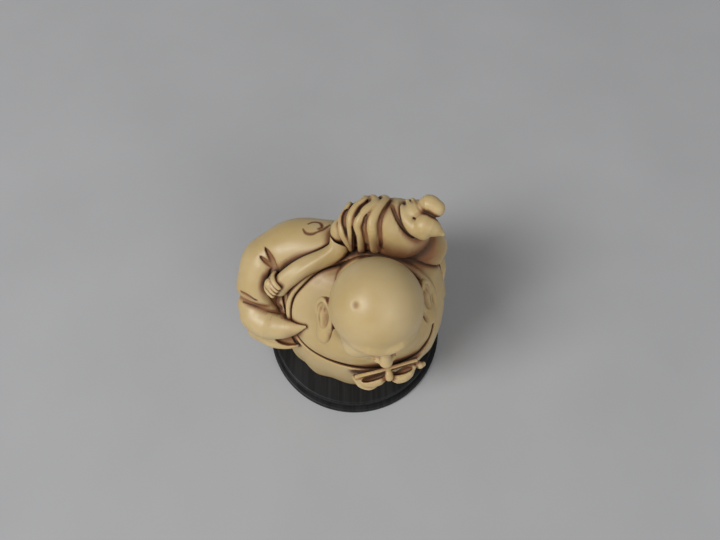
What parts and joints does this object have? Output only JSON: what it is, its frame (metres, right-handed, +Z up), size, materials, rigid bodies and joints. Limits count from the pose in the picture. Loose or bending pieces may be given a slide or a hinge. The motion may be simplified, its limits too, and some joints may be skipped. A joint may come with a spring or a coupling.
{
  "type": "figurine",
  "caption": "Round-bellied laughing figure in ivory-coloured resin, sack over its back, sash tied in a bow, on a black turned wooden plinth",
  "frame": {"origin": "middle of the plinth's underside, on the plinth's axis", "axes": "+Z up, the figure faces -Y, its own right hand is at -X"},
  "size_m": [0.0545, 0.05, 0.061],
  "materials": {
    "ivory_resin": "satin cast resin with brown wash in the recesses",
    "black_wood": "black stain, grain showing, dull lacquer",
    "green_felt": "short pile",
    "zinc_steel": "zinc plated"
  },
  "bodies": {
    "root": {"base_plinth": "black_wood", "felt_pad": "green_felt", "fixing_screw": "zinc_steel", "locating_dowel": "zinc_steel", "torso": "ivory_resin", "robe": "ivory_resin", "head": "ivory_resin", "right_sleeve": "ivory_resin", "left_sleeve": "ivory_resin", "sack": "ivory_resin", "sack_neck": "ivory_resin", "sack_knot": "ivory_resin", "right_hand": "ivory_resin", "sash_bow": "ivory_resin"}
  },
  "joints": []
}
